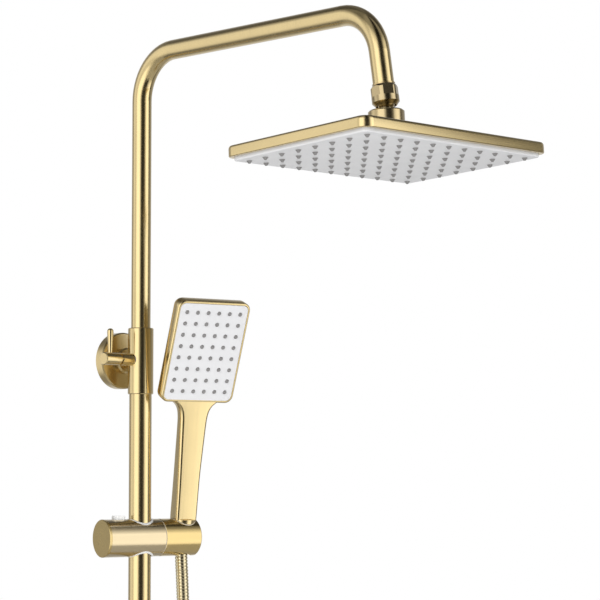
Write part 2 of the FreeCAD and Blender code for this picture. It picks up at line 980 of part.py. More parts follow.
def cone_way(name, gap, low, high):
    """A tapering hole for the nut, straight below the taper."""
    foot = mm("cone_foot")
    narrow = cone_radius(foot) + gap
    wide = cone_radius(high) + gap
    outline = [(0, low), (narrow, low), (narrow, foot), (wide, high), (0, high)]
    return turned(name, outline)


def handset_holder():
    radius = dim("bracket_radius")
    start = dim("bracket_seam") + 0.7
    end = dim("bracket_right")
    place = dim("socket_place")
    outline = [
        (4.15, start - place),
        (radius - 0.4, start - place),
        (radius, start - place + 0.4),
        (radius, end - place - 1.2),
        (radius - 1.2, end - place),
        (0, end - place),
        (0, start - place + 7.8),
        (4.15, start - place + 7.8),
    ]
    blank = put(turned("holder_blank", outline), ALONG_X)
    socket = cone_way("holder_socket", 0.7, -25, 25)
    head_room = rod("holder_head_room", 7.0, start.value - place.value + 7.7, -4, ALONG_X)
    finish("handset_holder", put(cut("holder", blank, socket, head_room), HOLDER))

    outer = cone_way("socket_outer", 0.65, -8, 30)
    inner = cone_way("socket_inner", 0.1, -30, 40)
    lip = rod("socket_trim", radius + 0.5, -30, 30, ALONG_X)
    lined = cut("socket_lined", common("socket_trimmed", outer, lip), inner)
    finish("socket_liner", put(lined, HOLDER))


def handset_face_frame():
    """Centre of the spray face, own Z into the handset, own Y up the face."""
    place = Vector(0, -mm("face_out"), mm("face_height"))
    return Placement(place, Rotation(X_AXIS, 90 + mm("face_kink")).multiply(Rotation(Y_AXIS, 180)))


def section(name, body, width, depth, height, offset):
    """One rectangular section of the handle, at a height and a distance in front of its axis."""
    sketch = new_sketch(body, name, "XY_Plane")
    half_w, half_d = width / 2, depth / 2
    corners = [(-half_w, -offset - half_d), (half_w, -offset - half_d)]
    corners += [(half_w, -offset + half_d), (-half_w, -offset + half_d)]
    draw_outline(sketch, corners)
    sketch.AttachmentOffset = moved(z=height)
    sketch.Visibility = False
    return sketch


def handle_loft():
    sections = (
        (22.8, 16.4, mm("handle_foot"), 0.0),
        (24.3, 14.4, 60.0, 0.2),
        (28.8, 11.4, 112.0, 2.0),
        (36.8, 10.9, 126.0, 3.0),
        (58.8, 10.4, 140.0, 3.8),
    )
    body = doc.addObject("PartDesign::Body", "handle")
    drawn = [section(f"handle_section_{n}", body, *values) for n, values in enumerate(sections)]
    loft = body.newObject("PartDesign::AdditiveLoft", "handle_loft")
    loft.Profile = drawn[0]
    loft.Sections = drawn[1:]
    loft.Ruled = True
    body.Tip = loft
    return body


def handset():
    face = handset_face_frame()
    width = dim("face_width")
    length = dim("face_length")
    depth = dim("face_depth")
    corner = dim("face_corner")
    skin = 2.5
    head = plate("handset_head", width, length, 0, depth, corner)
    back = softened("handset_back", head, 3.5, lambda e: e.BoundBox.ZMin > float(depth) - 0.01)
    front = softened("handset_front", back, 1.1, lambda e: e.BoundBox.ZMax < 0.01)
    put(front, face)
    solid = fuse("handset_solid", front, handle_loft())
    pocket = plate("handset_pocket", width - 2 * skin, length - 2 * skin, -12, 9.6, corner - skin)
    put(pocket, face)
    bore = rod("handset_bore", 5.2, 10, dim("handle_foot") + 14.5)
    joined = rod("handset_passage", 3.2, 30, 144, moved(y=-1.5))
    shell = cut("handset_cut", solid, pocket, bore)
    finish("handset_shell", put(cut("handset_way", shell, joined), HANDSET))

    places = list(grid_places(SPRAY_COLUMNS, SPRAY_ROWS, mm("spray_pitch")))
    radius = mm("spray_radius")
    inside_w = width - 2 * skin - 0.2
    inside_l = length - 2 * skin - 0.2
    blank = plate("spray_blank", inside_w, inside_l, 0.3, 2.3, corner - skin)
    holes = hole_field("spray_holes", radius + 0.12, -3, 6, places)
    at_face = HANDSET.multiply(face)
    finish("handset_face_plate", put(cut("spray_face", blank, holes), at_face))
    mat_sheet = plate("spray_sheet", 66, 92, 2.35, 3.35, 4)
    mat = nozzle_mat("spray_mat", mat_sheet, radius, 1.0, 2.6, 0.3, -1.4, places)
    finish("handset_nozzle_mat", put(mat, at_face))
    chamber = plate("spray_chamber", inside_w - 1, inside_l - 1, 3.45, 5.2, 5)
    chamber_inlet = rod("spray_inlet", 4.0, 0, 10, moved(y=-30))
    finish("handset_chamber_plate", put(cut("spray_back", chamber, chamber_inlet), at_face))

    inlet_outline = [
        (4.0, 7.6),
        (dim("thread_radius"), 7.6),
        (dim("thread_radius"), 18.3),
        (7.6, 18.3),
        (7.6, dim("handle_foot") - 0.1),
        (5.15, dim("handle_foot") - 0.1),
        (5.15, dim("handle_foot") + 14),
        (4.0, dim("handle_foot") + 14),
    ]
    finish("handset_inlet", put(turned("inlet", inlet_outline), HANDSET))

    nut_outline = [
        (6.4, dim("cone_foot")),
        (dim("cone_narrow"), dim("cone_foot")),
        (dim("cone_wide"), dim("cone_head")),
        (10.5, dim("cone_head")),
        (10.5, 5.8),
        (10.0, 5.8),
        (10.0, 3.4),
        (6.4, 3.4),
    ]
    finish("hose_cone_nut", put(turned("cone_nut", nut_outline), HANDSET))
    cone_washer = tube("cone_washer", 4.2, 10.2, 5.85, 7.5)
    finish("hose_cone_washer", put(cone_washer, HANDSET))
    ferrule = tube("upper_ferrule", 4.0, 9.9, HOSE_SEAT + 0.1, 5.75)
    finish("hose_upper_ferrule", put(ferrule, HANDSET))


# ---------------------------------------------------------------- diverter and inlet


def diverter():
    radius = dim("diverter_radius")
    bore = dim("riser_radius") + 0.05
    outline = [
        (0, -30),
        (12.6, -30),
        (radius - 1.5, -26),
        (radius, -24.5),
        (radius, 26),
        (radius - 1.5, 28),
        (12.5, 28),
        (12.5, 40.6),
        (bore, 40.6),
        (bore, 28.2),
        (8.0, 28.2),
        (8.0, 8.0),
        (0, 8.0),
    ]
    barrel = turned("diverter_barrel", outline)
    front = rod("diverter_front", 14.0, 0, mm("knob_near") - mm("wall_gap") - 1.5, ALONG_MINUS_Y)
    back = rod("diverter_back", 12.6, 10, mm("wall_gap") - mm("flange_depth") - 1, turned_by(X_AXIS, -90))
    solid = fuse("diverter_solid", barrel, front, back)
    cartridge_way = rod("diverter_cartridge_way", 10.6, 4, 60, ALONG_MINUS_Y)
    inlet_way = rod("diverter_inlet_way", 9.4, 12, 60, turned_by(X_AXIS, -90))
    water_way = rod("diverter_water_way", 6.0, -60, 12)
    through_way = rod("diverter_through_way", 5.0, 0, 20, turned_by(X_AXIS, -90))
    outlet_way = rod("diverter_outlet_way", 8.5, -40, -18)
    body = cut("diverter", solid, cartridge_way, inlet_way, water_way, through_way, outlet_way)
    finish("diverter_body", put(body, DIVERTER))
    finish("riser_gasket", put(tube("gasket", 8.6, 10.9, 28.3, 29.9), DIVERTER))
    union = [
        (11.1, 41.0),
        (14.2, 41.0),
        (14.2, 52.5),
        (13.0, 54.0),
        (11.1, 54.0),
    ]
    finish("riser_union_nut", put(turned("union_nut", union), DIVERTER))


def diverter_inside():
    near = mm("knob_near") - mm("wall_gap")
    along = DIVERTER.multiply(ALONG_MINUS_Y)
    cartridge_outline = [
        (3.6, 4.5),
        (10.4, 4.5),
        (10.4, near - 2.0),
        (3.6, near - 2.0),
    ]
    cartridge = turned("cartridge_blank", cartridge_outline)
    ports = rod("cartridge_ports", 3.4, -20, 20, moved(z=12).multiply(turned_by(X_AXIS, 90)))
    finish("diverter_cartridge", put(cut("cartridge", cartridge, ports), along))

    spindle = turned(
        "diverter_stem",
        [(0, 6.0), (3.5, 6.0), (3.5, near + 10), (0, near + 10)],
    )
    finish("diverter_spindle", put(spindle, along))

    far = mm("knob_far") - mm("wall_gap")
    radius = dim("knob_radius")
    knob_outline = [
        (3.55, near),
        (radius - 0.5, near),
        (radius, near + 0.5),
        (radius, far - 1.0),
        (radius - 1.0, far),
        (0, far),
        (0, near + 10.1),
        (3.55, near + 10.1),
    ]
    knob = turned("diverter_knob_blank", knob_outline)
    lever_hole = rod("diverter_lever_hole", 2.0, 9, 20, moved(z=near + 14).multiply(turned_by(X_AXIS, -90)))
    finish("diverter_knob", put(cut("diverter_knob_cut", knob, lever_hole), along))

    lever_outline = [
        (0, 9.2),
        (1.95, 9.2),
        (1.95, radius + 0.3),
        (2.2, radius + 0.3),
        (3.3, radius + 18),
        (3.1, radius + 20),
        (2.2, radius + 21.4),
        (1.0, radius + 22),
        (0, radius + 22),
    ]
    lever = turned("diverter_lever_blank", lever_outline)
    finish("diverter_lever", put(lever, DIVERTER.multiply(moved(y=-(near + 14)))))


def inlet():
    wall = mm("wall_gap")
    thread = dim("thread_radius")
    depth = mm("flange_depth")
    outline = [
        (7.2, -dim("inlet_tail")),
        (thread, -dim("inlet_tail")),
        (thread, 2),
        (12.4, 2),
        (12.4, depth + 0.4),
        (9.3, depth + 0.4),
        (9.3, wall - 12.2),
        (7.2, wall - 12.2),
    ]
    frame = wall_frame(mm("diverter_height"))
    finish("inlet_connector", put(turned("connector", outline), frame))
    valve = turned(
        "valve_blank",
        [(3.0, -4.0), (7.1, -4.0), (7.1, 8.0), (5.4, 10.0), (3.0, 10.0)],
    )
    finish("inlet_check_valve", put(valve, frame))


def hose_outlet():
    thread = dim("thread_radius")
    outline = [
        (6.0, -42),
        (thread, -42),
        (thread, -30.2),
        (8.4, -30.2),
        (8.4, -19),
        (6.0, -19),
    ]
    finish("hose_outlet_nipple", put(turned("outlet", outline), DIVERTER))
    washer = tube("lower_washer", 6.2, 10.2, -44.0, -42.1)
    finish("hose_lower_washer", put(washer, DIVERTER))
    nut_outline = [
        (6.5, -50.5),
        (10.6, -50.5),
        (12.2, -48.9),
        (12.2, -32.6),
        (11.4, -31.8),
        (10.5, -31.8),
        (10.5, -47.0),
        (6.5, -47.0),
    ]
    nut = turned("lower_nut_blank", nut_outline)
    grips = []
    for number in range(6):
        flat = doc.addObject("Part::Box", f"lower_nut_flat_{number}")
        flat.Length = 10
        flat.Width = 20
        flat.Height = 12
        flat.Placement = turned_by(Z_AXIS, 60 * number).multiply(moved(x=11.5, y=-10, z=-45))
        grips.append(flat)
    finish("hose_lower_nut", put(cut("lower_nut", nut, *grips), DIVERTER))

    hose_fit = dim("hose_radius") + 0.02
    ferrule_outline = [
        (4.2, -44.1),
        (9.9, -44.1),
        (9.9, -46.9),
        (6.4, -46.9),
        (6.4, -50.7),
        (7.6, -50.7),
        (7.6, -63),
        (6.6, -64.2),
        (hose_fit, -64.2),
        (hose_fit, -51.0),
        (4.2, -51.0),
    ]
    finish("hose_lower_ferrule", put(turned("lower_ferrule", ferrule_outline), DIVERTER))


# ---------------------------------------------------------------- hose

# The hose leaves the holder's socket, hangs beside the riser, turns round below the
# diverter and comes up into its outlet.
HOSE_ROUTE = [
    HANDSET.multVec(Vector(0, 0, HOSE_SEAT)),
    Vector(46.8, -42.4, -186),
    Vector(47.4, -44.0, -214),
    Vector(48.2, -46.5, -272),
    Vector(48.8, -49.5, -385),
    Vector(50, -52.5, -530),
    Vector(53, -56, -680),
    Vector(61, -58, -825),
    Vector(72, -58, -965),
    Vector(84, -56, -1095),
    Vector(91, -53, -1175),
    Vector(90, -51, -1244.7),
    Vector(63.3, -49, -1281.5),
    Vector(20, -47, -1295.6),
    Vector(-23.3, -45, -1281.5),
    Vector(-50, -43, -1244.7),
    Vector(-49, -41, -1192),
    Vector(-38, -38, -1140),
    Vector(-15, -36, -1093),
    Vector(0, -35, -1052),
    DIVERTER.multVec(Vector(0, 0, HOSE_END)),
]
BEND_SHARE = 0.45


def hose_bend(before, corner, after):
    """The tangent arc that rounds one corner of the route, and its radius."""
    back = before - corner
    ahead = after - corner
    trim = BEND_SHARE * min(back.Length, ahead.Length)
    back.normalize()
    ahead.normalize()
    half_turn = (math.pi - back.getAngle(ahead)) / 2
    radius = trim / math.tan(half_turn)
    inward = back + ahead
    inward.normalize()
    middle = corner + inward * (radius / math.cos(half_turn) - radius)
    return Part.Arc(corner + back * trim, middle, corner + ahead * trim), radius


def hose_centre_line():
    """Straight runs joined by tangent arcs, and the radii of the arcs."""
    edges = []
    radii = []
    start = HOSE_ROUTE[0]
    for before, corner, after in zip(HOSE_ROUTE, HOSE_ROUTE[1:], HOSE_ROUTE[2:]):
        bend, radius = hose_bend(before, corner, after)
        edges.append(Part.LineSegment(start, bend.StartPoint).toShape())
        edges.append(bend.toShape())
        radii.append(radius)
        start = bend.EndPoint
    edges.append(Part.LineSegment(start, HOSE_ROUTE[-1]).toShape())
    return Part.Wire(edges), radii


def hose():
    radius = mm("hose_radius")
    line, radii = hose_centre_line()
    way = HOSE_ROUTE[1] - HOSE_ROUTE[0]
    ring = Part.Wire(Part.Circle(HOSE_ROUTE[0], way, radius).toShape())
    tube_solid = line.makePipeShell([ring], True, False)
    ratio = tube_solid.Volume / (math.pi * radius**2 * line.Length)
    print(f"hose {line.Length:.1f} mm, volume ratio {ratio:.4f}")
    print("hose bend radii", [round(r) for r in radii])
    solid = doc.addObject("Part::Feature", "hose")
    solid.Shape = tube_solid
    finish("hose_tube", solid)


def main():
    wall_flange("upper_wall_flange", 0, dim("standoff_neck"))
    anchor_plate()
    standoff()
    sleeve()
    riser_tube()
    height_lock()
    telescope_guide()
    rain_arm()
    ball_joint()
    rain_head()
    slide_bracket()
    handset_holder()
    handset()
    diverter()
    diverter_inside()
    wall_flange("lower_wall_flange", mm("diverter_height"), size(12.8))
    inlet()
    hose_outlet()
    hose()


main()
doc.recompute()


# ---------------------------------------------------------------- checks and files


def check_all():
    for thing in doc.Objects:
        bad = {"Invalid", "Error"} & set(thing.State)
        if bad:
            raise RuntimeError(f"{thing.Label} failed: {sorted(bad)}")
    for label, thing in finished.items():
        if thing.Shape.isNull() or not thing.Shape.isValid() or not thing.Shape.Solids:
            raise RuntimeError(f"{label} has no valid shape")


def export_all():
    os.makedirs("parts", exist_ok=True)
    for label, thing in finished.items():
        thing.Shape.exportStep(f"parts/{label}.step")


check_all()
export_all()
print(f"{len(finished)} parts written")
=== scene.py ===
"""Rainfall shower column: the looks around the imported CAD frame, in metres, +Z up."""

import math

import bmesh
import bpy
from mathutils import Euler, Matrix, Vector


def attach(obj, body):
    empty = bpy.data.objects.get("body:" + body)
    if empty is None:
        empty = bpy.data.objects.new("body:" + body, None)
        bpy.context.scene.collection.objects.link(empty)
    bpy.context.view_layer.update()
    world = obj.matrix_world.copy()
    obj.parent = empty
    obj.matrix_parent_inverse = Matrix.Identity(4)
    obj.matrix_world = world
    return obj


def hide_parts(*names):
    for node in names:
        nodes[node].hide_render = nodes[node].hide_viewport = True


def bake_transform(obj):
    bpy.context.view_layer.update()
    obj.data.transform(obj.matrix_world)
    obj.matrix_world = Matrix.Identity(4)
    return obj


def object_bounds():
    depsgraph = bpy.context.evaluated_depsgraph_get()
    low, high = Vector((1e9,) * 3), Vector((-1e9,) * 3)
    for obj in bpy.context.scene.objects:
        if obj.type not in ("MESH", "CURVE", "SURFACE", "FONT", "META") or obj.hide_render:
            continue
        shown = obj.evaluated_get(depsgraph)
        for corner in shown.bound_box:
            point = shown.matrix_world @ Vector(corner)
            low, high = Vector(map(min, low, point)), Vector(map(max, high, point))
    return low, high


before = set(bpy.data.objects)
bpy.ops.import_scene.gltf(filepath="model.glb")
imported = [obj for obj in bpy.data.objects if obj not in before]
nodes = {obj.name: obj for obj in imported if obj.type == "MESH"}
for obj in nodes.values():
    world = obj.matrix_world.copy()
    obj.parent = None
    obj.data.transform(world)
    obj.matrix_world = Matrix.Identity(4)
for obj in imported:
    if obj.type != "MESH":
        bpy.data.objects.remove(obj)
cad_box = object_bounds()
scene = bpy.context.scene
scene.view_settings.view_transform = "Standard"

MM = 0.001


# ------------------------------------------------------------------ frames of the assemblies


def shift(x=0.0, y=0.0, z=0.0):
    return Matrix.Translation((x * MM, y * MM, z * MM))


def turn(axis, degrees):
    return Matrix.Rotation(math.radians(degrees), 4, axis)


# The riser's distance from the wall, and the bracket's and the diverter's heights, in millimetres.
WALL_GAP = 35
BRACKET_HEIGHT = -173.2
DIVERTER_HEIGHT = -960

RISER = shift(y=-WALL_GAP)
BALL = shift(0, -364.414, 217.724)
HEAD = BALL @ turn("X", -3.35)
BRACKET = shift(0, -WALL_GAP, BRACKET_HEIGHT) @ turn("Z", -11.3)
HOLDER = BRACKET @ shift(x=47.2) @ turn("X", 8.7)
HANDSET = HOLDER @ turn("Z", -3.5)
SPRAY_FACE = HANDSET @ shift(y=-20.6, z=184.8) @ turn("X", 103.6) @ turn("Y", 180)
DIVERTER = shift(0, -WALL_GAP, DIVERTER_HEIGHT)


# ------------------------------------------------------------------ camera


camera_data = bpy.data.cameras.new("camera")
camera_data.lens = 133.1
camera_data.sensor_width = 36
camera = bpy.data.objects.new("camera", camera_data)
camera.location = (-1.4147, -1.6888, -0.0986)
camera.rotation_euler = Euler((math.radians(94.151), 0, math.radians(-44.655)))
scene.collection.objects.link(camera)
scene.camera = camera


# ------------------------------------------------------------------ material helpers


def join_or_set(links, value, socket):
    """Links a node's output to a socket, or sets the socket to a plain value."""
    if isinstance(value, bpy.types.NodeSocket):
        links.new(value, socket)
    else:
        socket.default_value = value


def math_node(tree, operation, first, second=0.0):
    node = tree.nodes.new("ShaderNodeMath")
    node.operation = operation
    for socket, value in zip(node.inputs, (first, second)):
        join_or_set(tree.links, value, socket)
    return node.outputs[0]


class Tree:
    """Short names for building one material's nodes."""

    def __init__(self, name):
        self.material = bpy.data.materials.new(name)
        self.material.use_nodes = True
        self.nodes = self.material.node_tree.nodes
        self.links = self.material.node_tree.links
        self.shader = self.nodes["Principled BSDF"]

    def add(self, kind, **inputs):
        node = self.nodes.new(kind)
        for name, value in inputs.items():
            self.feed(node, name.replace("_", " "), value)
        return node

    def feed(self, node, name, value):
        join_or_set(self.links, value, node.inputs[name])

    def math(self, operation, first, second=0.0):
        return math_node(self.material.node_tree, operation, first, second)

    def spread(self, value, low, high, from_low=0.0, from_high=1.0):
        """Maps a value to a range."""
        node = self.nodes.new("ShaderNodeMapRange")
        self.links.new(value, node.inputs["Value"])
        for name, number in (
            ("From Min", from_low),
            ("From Max", from_high),
            ("To Min", low),
            ("To Max", high),
        ):
            node.inputs[name].default_value = number
        return node.outputs["Result"]

    def mix(self, share, first, second):
        """Blends two plain colours."""
        node = self.nodes.new("ShaderNodeMix")
        node.data_type = "RGBA"
        self.links.new(share, node.inputs["Factor"])
        for socket, color in ((node.inputs[6], first), (node.inputs[7], second)):
            socket.default_value = (*color, 1.0)
        return node.outputs[2]

    def local(self, place):
        """Object coordinates in an assembly's own frame, in metres."""
        where = self.nodes.new("ShaderNodeTexCoord").outputs["Object"]
        node = self.nodes.new("ShaderNodeMapping")
        node.vector_type = "POINT"
        back = place.inverted()
        node.inputs["Location"].default_value = back.to_translation()
        node.inputs["Rotation"].default_value = back.to_euler()
        self.links.new(where, node.inputs["Vector"])
        return node.outputs["Vector"]

    def scaled(self, vector, scale):
        node = self.nodes.new("ShaderNodeMapping")
        node.inputs["Scale"].default_value = scale
        self.links.new(vector, node.inputs["Vector"])
        return node.outputs["Vector"]

    def noise(self, vector, scale, detail=2.0, rough=0.5):
        node = self.nodes.new("ShaderNodeTexNoise")
        node.inputs["Scale"].default_value = scale
        node.inputs["Detail"].default_value = detail
        node.inputs["Roughness"].default_value = rough
        self.links.new(vector, node.inputs["Vector"])
        return node.outputs["Fac"]

    def bump(self, height, strength, distance):
        node = self.nodes.new("ShaderNodeBump")
        node.inputs["Strength"].default_value = strength
        node.inputs["Distance"].default_value = distance
        self.links.new(height, node.inputs["Height"])
        self.links.new(node.outputs["Normal"], self.shader.inputs["Normal"])

    def around(self, vector):
        """Coordinates that follow a turning tool: radius, height and nothing else."""
        split = self.add("ShaderNodeSeparateXYZ", Vector=vector)
        squares = self.math(
            "ADD",
            self.math("MULTIPLY", split.outputs[0], split.outputs[0]),
            self.math("MULTIPLY", split.outputs[1], split.outputs[1]),
        )
        join = self.nodes.new("ShaderNodeCombineXYZ")
        self.links.new(self.math("SQRT", squares), join.inputs[0])
        self.links.new(split.outputs[2], join.inputs[1])
        return join.outputs[0]


GOLD = (0.78, 0.60, 0.27)
DEEP_GOLD = (0.72, 0.53, 0.19)

# How deep the brush streaks and the grain of moulded and polished surfaces are, in metres.
STREAK_DEPTH = 0.0000035
GRAIN_DEPTH = 0.00001


def darker(color, share):
    return tuple(c * share for c in color)


def lacquered(tree):
    """The clear lacquer over the gold, which pales the highlights."""
    tree.feed(tree.shader, "Coat Weight", 0.7)
    tree.feed(tree.shader, "Coat IOR", 1.9)
    tree.feed(tree.shader, "Coat Roughness", 0.12)


def brushed(name, place, grain, color=GOLD, rough=0.19, depth=STREAK_DEPTH):
    """Brushed gold. The grain says how fine the streaks are along each of the place's axes."""
    tree = Tree(name)
    where = tree.local(place)
    streaks = tree.noise(tree.scaled(where, grain), 1.0, 3.0, 0.6)
    patches = tree.noise(where, 38.0, 2.0)
    tree.feed(tree.shader, "Base Color", tree.mix(patches, color, darker(color, 0.9)))
    tree.feed(tree.shader, "Metallic", 1.0)
    tree.feed(tree.shader, "Roughness", tree.spread(streaks, rough - 0.05, rough + 0.07, 0.3, 0.7))
    tree.bump(streaks, 0.25, depth)
    lacquered(tree)
    return tree.material


def lathe(name, place, color=GOLD, rough=0.19):
    """Gold brushed round an axis, as on a turned piece."""
    tree = Tree(name)
    where = tree.around(tree.local(place))
    streaks = tree.noise(tree.scaled(where, (5200, 5200, 1)), 1.0, 3.0, 0.6)
    patches = tree.noise(where, 60.0, 2.0)
    tree.feed(tree.shader, "Base Color", tree.mix(patches, color, darker(color, 0.9)))
    tree.feed(tree.shader, "Metallic", 1.0)
    tree.feed(tree.shader, "Roughness", tree.spread(streaks, rough - 0.05, rough + 0.08, 0.3, 0.7))
    tree.bump(streaks, 0.25, STREAK_DEPTH)
    lacquered(tree)
    return tree.material


def polished(name, color=GOLD, rough=0.13):
    """Smooth metal with faint clouds in its colour and gloss."""
    tree = Tree(name)
    where = tree.local(Matrix())
    clouds = tree.noise(where, 120.0, 3.0)
    tree.feed(tree.shader, "Base Color", tree.mix(clouds, color, darker(color, 0.93)))
    tree.feed(tree.shader, "Metallic", 1.0)
    tree.feed(tree.shader, "Roughness", tree.spread(clouds, rough - 0.03, rough + 0.05, 0.3, 0.7))
    tree.bump(clouds, 0.1, GRAIN_DEPTH)
    lacquered(tree)
    return tree.material


def moulded(name, color, rough=0.35, coat=0.0):
    """Moulded plastic or rubber: a fine grain and slightly uneven gloss."""
    tree = Tree(name)
    where = tree.local(Matrix())
    fine = tree.noise(where, 2600.0, 2.0)
    broad = tree.noise(where, 45.0, 3.0)
    tree.feed(tree.shader, "Base Color", tree.mix(broad, color, darker(color, 0.94)))
    tree.feed(tree.shader, "Roughness", tree.spread(broad, rough - 0.05, rough + 0.08, 0.3, 0.7))
    tree.feed(tree.shader, "Coat Weight", coat)
    tree.bump(fine, 0.2, GRAIN_DEPTH)
    return tree.material


def paint(material, *names):
    """Gives the named CAD pieces one material."""
    for name in names:
        mesh = nodes[name].data
        mesh.materials.clear()
        mesh.materials.append(material)


# ------------------------------------------------------------------ materials of the CAD pieces


# How fine the streaks are along X, Y and Z: long and thin, along one of the axes.
ALONG_Z = (700, 700, 6)
ALONG_X = (6, 900, 900)

paint(brushed("riser_gold", RISER, ALONG_Z), "lower_riser_tube", "riser_sleeve", "gooseneck_tube")
paint(
    lathe("flange_gold", shift() @ turn("X", 90), rough=0.3),
    "upper_wall_flange",
    "upper_standoff",
)
paint(
    lathe("lower_flange_gold", shift(z=DIVERTER_HEIGHT) @ turn("X", 90), rough=0.3),
    "lower_wall_flange",
)
paint(lathe("lock_gold", RISER @ turn("Y", -90)), "lock_barrel", "lock_knob")
paint(polished("lever_gold"), "lock_lever", "diverter_lever", "hose_lower_ferrule")
paint(polished("joint_gold", (0.50, 0.38, 0.18), 0.16), "ball_nut", "ball_stem")
paint(lathe("collar_gold", HEAD, (0.60, 0.46, 0.22)), "head_collar")
paint(brushed("housing_gold", BRACKET, ALONG_X, (0.72, 0.58, 0.34), rough=0.2), "slide_housing")
paint(lathe("end_cap_gold", BRACKET @ turn("Y", 90), DEEP_GOLD, 0.3), "slide_end_cap")
paint(brushed("holder_gold", HOLDER, ALONG_X, DEEP_GOLD), "handset_holder")
paint(lathe("diverter_gold", DIVERTER), "diverter_body", "riser_union_nut", "hose_lower_nut")
paint(lathe("diverter_knob_gold", DIVERTER @ turn("X", 90)), "diverter_knob")
paint(lathe("cone_nut_gold", HANDSET), "hose_cone_nut")
paint(
    moulded("pale_face", (0.70, 0.70, 0.71), 0.35, coat=0.1),
    "head_face_plate",
    "handset_face_plate",
)
paint(moulded("grey_silicone", (0.23, 0.225, 0.22), 0.5), "head_nozzle_mat", "handset_nozzle_mat")
paint(
    moulded("white_plastic", (0.82, 0.82, 0.81), 0.25, coat=0.2),
    "release_button",
    "slide_liner",
    "glide_bush",
)
# Pale plastic given a darker grey-tan: painted shade. The socket's thin liner is pale where lit and
# dark on its shaded side, and the pivot washer shares the colour.
paint(moulded("pale_plastic_painted_shade", (0.50, 0.44, 0.33), 0.4), "pivot_washer", "socket_liner")
paint(
    moulded("inner_plastic", (0.62, 0.62, 0.6), 0.5),
    "sleeve_bush",
    "guide_bush",
    "clamp_plunger",
    "clamp_shoe",
    "ball_seat",
    "head_chamber_plate",
    "handset_chamber_plate",
    "inlet_check_valve",
    "diverter_cartridge",
)
paint(
    polished("bare_brass", (0.68, 0.50, 0.22), 0.25),
    "arm_end_nipple",
    "inlet_connector",
    "hose_outlet_nipple",
    "handset_inlet",
    "hose_upper_ferrule",
)
paint(
    polished("stainless", (0.56, 0.56, 0.57), 0.25),
    "upper_anchor_plate",
    "standoff_grub_screw",
    "lock_spindle",
    "head_screws",
    "clamp_spring",
    "pivot_axle",
    "diverter_spindle",
)
paint(
    moulded("black_rubber", (0.02, 0.02, 0.02), 0.6),
    "guide_o_rings",
    "riser_gasket",
    "head_filter_washer",
    "hose_cone_washer",
    "hose_lower_washer",
)


# ------------------------------------------------------------------ mesh helpers


def made(name, mesh, material, body):
    """A smooth-shaded piece, attached to its body when one is given."""
    piece = bpy.data.objects.new(name, mesh)
    scene.collection.objects.link(piece)
    mesh.materials.append(material)
    mesh.shade_smooth()
    if body:
        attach(piece, body)
    return piece


def lofted(name, rings, place=Matrix()):
    """A skin over rings of the same number of points, closed at both ends."""
    work = bmesh.new()
    rows = [[work.verts.new(place @ Vector(p)) for p in ring] for ring in rings]
    for lower, upper in zip(rows, rows[1:]):
        for k in range(len(lower)):
            j = (k + 1) % len(lower)
            work.faces.new((lower[k], lower[j], upper[j], upper[k]))
    work.faces.new(rows[0][::-1])
    work.faces.new(rows[-1])
    mesh = bpy.data.meshes.new(name)
    work.to_mesh(mesh)
    work.free()
    return mesh


def rounded_ring(width, depth, corner, height, centre=(0.0, 0.0), per_corner=8):
    """A rounded rectangle's outline, anticlockwise, in millimetres."""
    ring = []
    for quarter, (sx, sy) in enumerate(((1, 1), (-1, 1), (-1, -1), (1, -1))):
        cx = sx * (width / 2 - corner) + centre[0]
        cy = sy * (depth / 2 - corner) + centre[1]
        for n in range(per_corner + 1):
            angle = math.radians(90 * (quarter + n / per_corner))
            ring.append(
                (
                    (cx + corner * math.cos(angle)) * MM,
                    (cy + corner * math.sin(angle)) * MM,
                    height * MM,
                )
            )
    return ring


SMALLEST_CORNER = 0.6


def slab(name, width, depth, corner, profile, place):
    """A rounded slab, from (inset, height) points in millimetres that go all the way round it."""
    rings = []
    for inset, height in profile:
        radius = max(corner - inset, SMALLEST_CORNER)
        rings.append(
            rounded_ring(width - 2 * inset, depth - 2 * inset, radius, height, per_corner=12)
        )
    return lofted(name, rings, place)


def spun(name, profile, place, sides=96):
    """A turned piece, from (radius, height) points in millimetres."""
    rings = []
    for radius, height in profile:
        ring = []
        for n in range(sides):
            angle = 2 * math.pi * n / sides
            ring.append(
                (radius * math.cos(angle) * MM, radius * math.sin(angle) * MM, height * MM)
            )
        rings.append(ring)
    return lofted(name, rings, place)


def joined(first, *others):
    """Puts several meshes into the first."""
    work = bmesh.new()
    work.from_mesh(first)
    for mesh in others:
        work.from_mesh(mesh)
        bpy.data.meshes.remove(mesh)
    work.to_mesh(first)
    work.free()
    return first


def smooth_values(keys, count):
    """The rows of keys, with a smooth curve's values between them: count rows for each pair."""
    rows = []
    for k in range(len(keys) - 1):
        a = keys[max(k - 1, 0)]
        b = keys[k]
        c = keys[k + 1]
        d = keys[min(k + 2, len(keys) - 1)]
        for n in range(count):
            t = n / count
            rows.append(
                tuple(
                    0.5
                    * (
                        2 * q
                        + (r - p) * t
                        + (2 * p - 5 * q + 4 * r - o) * t * t
                        + (3 * q - p - 3 * r + o) * t**3
                    )
                    for p, q, r, o in zip(a, b, c, d)
                )
            )
    rows.append(keys[-1])
    return rows


# ------------------------------------------------------------------ rain head


HEAD_WIDTH = 235.5
HEAD_DEPTH = 170.5
HEAD_CORNER = 10.0

# Down the inner wall, round the lip, up the rim and over to the top: inset and height.
HEAD_PROFILE = [
    (1.65, -40.9),
    (1.65, -47.3),
    (4.6, -47.3),
    (4.6, -48.6),
    (4.45, -48.85),
    (4.2, -48.9),
    (1.0, -48.9),
    (0.55, -48.8),
    (0.15, -48.4),
    (0.0, -47.8),
    (0.0, -42.0),
    (0.12, -41.0),
    (0.5, -40.0),
    (1.2, -39.25),
    (2.1, -38.9),
    (3.2, -38.8),
    (12.0, -38.75),
]
